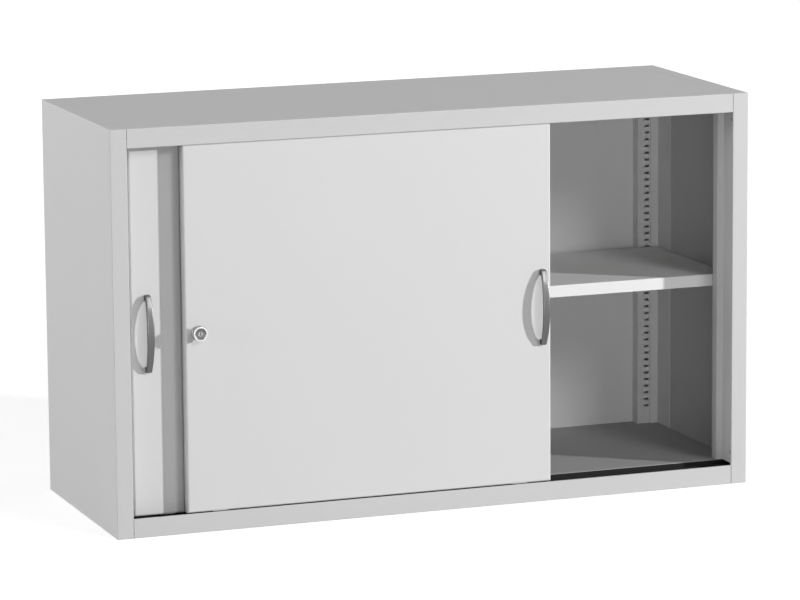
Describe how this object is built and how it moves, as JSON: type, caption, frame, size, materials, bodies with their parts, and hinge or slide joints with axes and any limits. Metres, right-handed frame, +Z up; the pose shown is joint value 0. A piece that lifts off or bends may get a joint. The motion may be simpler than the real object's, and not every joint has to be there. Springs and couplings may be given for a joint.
{
  "type": "sliding door cabinet",
  "caption": "Low steel cabinet with two overlapping sliding doors on rollers, bow handles, a push lock and an adjustable shelf on slotted uprights.",
  "frame": {"origin": "under the middle of the footprint, on the floor, with the front handle in the footprint", "axes": "+X to the right along the doors' travel, +Y to the back, +Z up; the doors face -Y"},
  "size_m": [1.4, 0.521, 0.84],
  "materials": {
    "carcass_coat": "satin powder coat",
    "door_coat": "satin powder coat",
    "track_plastic": "matte",
    "nylon": "matte",
    "buffer_rubber": "matte",
    "handle_metal": "satin",
    "lock_chrome": "polished",
    "zinc_steel": "zinc plated"
  },
  "bodies": {
    "cabinet": {"side_panel_right": "carcass_coat", "side_panel_left": "carcass_coat", "top_panel": "carcass_coat", "seam_strips": "carcass_coat", "bottom_rail": "carcass_coat", "rear_rail": "carcass_coat", "floor_panel": "carcass_coat", "floor_stiffener": "carcass_coat", "back_panel": "carcass_coat", "back_rivets": "zinc_steel", "jamb_right": "carcass_coat", "jamb_left": "carcass_coat", "rear_upright_right": "carcass_coat", "rear_upright_left": "carcass_coat", "shelf": "carcass_coat", "shelf_stiffener": "carcass_coat", "shelf_clips": "zinc_steel", "bottom_track": "track_plastic", "track_screws": "zinc_steel", "top_track": "track_plastic", "track_stops": "track_plastic", "door_buffers": "buffer_rubber"},
    "front_door": {"front_door_skin": "door_coat", "front_door_back": "door_coat", "front_door_stiffeners": "door_coat", "front_door_roller_brackets": "zinc_steel", "front_door_axles": "zinc_steel", "front_door_guides": "nylon", "front_door_handle": "handle_metal", "front_door_handle_screws": "zinc_steel", "lock_rosette": "lock_chrome", "lock_housing": "zinc_steel", "lock_nut": "zinc_steel"},
    "rear_door": {"rear_door_skin": "door_coat", "rear_door_back": "door_coat", "rear_door_stiffeners": "door_coat", "rear_door_roller_brackets": "zinc_steel", "rear_door_axles": "zinc_steel", "rear_door_guides": "nylon", "rear_door_handle": "handle_metal", "rear_door_handle_screws": "zinc_steel", "lock_keeper": "zinc_steel", "keeper_rivets": "zinc_steel"},
    "front_roller_left": {"front_door_roller_left": "nylon"},
    "front_roller_right": {"front_door_roller_right": "nylon"},
    "rear_roller_left": {"rear_door_roller_left": "nylon"},
    "rear_roller_right": {"rear_door_roller_right": "nylon"},
    "lock_barrel": {"lock_cylinder": "lock_chrome", "lock_bolt": "zinc_steel"},
    "key_plug": {"key_plug": "lock_chrome"}
  },
  "joints": [
    {"name": "front_door_slide", "type": "slide", "parent": "cabinet", "child": "front_door", "axis": [1, 0, 0], "range_m": [0, 0.418]},
    {"name": "rear_door_slide", "type": "slide", "parent": "cabinet", "child": "rear_door", "axis": [1, 0, 0], "range_m": [-0.019, 0.06]},
    {"name": "front_roller_left_turn", "type": "hinge", "parent": "front_door", "child": "front_roller_left", "pos_m": [-0.4773, -0.2225, 0.0453], "axis": [0, 1, 0], "continuous": true},
    {"name": "front_roller_right_turn", "type": "hinge", "parent": "front_door", "child": "front_roller_right", "pos_m": [0.1827, -0.2225, 0.0453], "axis": [0, 1, 0], "continuous": true},
    {"name": "rear_roller_left_turn", "type": "hinge", "parent": "rear_door", "child": "rear_roller_left", "pos_m": [-0.5817, -0.1915, 0.0453], "axis": [0, 1, 0], "continuous": true},
    {"name": "rear_roller_right_turn", "type": "hinge", "parent": "rear_door", "child": "rear_roller_right", "pos_m": [0.0783, -0.1915, 0.0453], "axis": [0, 1, 0], "continuous": true},
    {"name": "lock_push", "type": "slide", "parent": "front_door", "child": "lock_barrel", "axis": [0, 1, 0], "range_m": [0, 0.009]},
    {"name": "key_turn", "type": "hinge", "parent": "lock_barrel", "child": "key_plug", "pos_m": [-0.5193, -0.2325, 0.414], "axis": [0, 1, 0], "range_deg": [0, 90]}
  ],
  "couplings": [
    {"joint": "front_roller_left_turn", "follows": "front_door_slide", "rad_per_m": 83.333},
    {"joint": "front_roller_right_turn", "follows": "front_door_slide", "rad_per_m": 83.333},
    {"joint": "rear_roller_left_turn", "follows": "rear_door_slide", "rad_per_m": 83.333},
    {"joint": "rear_roller_right_turn", "follows": "rear_door_slide", "rad_per_m": 83.333}
  ]
}
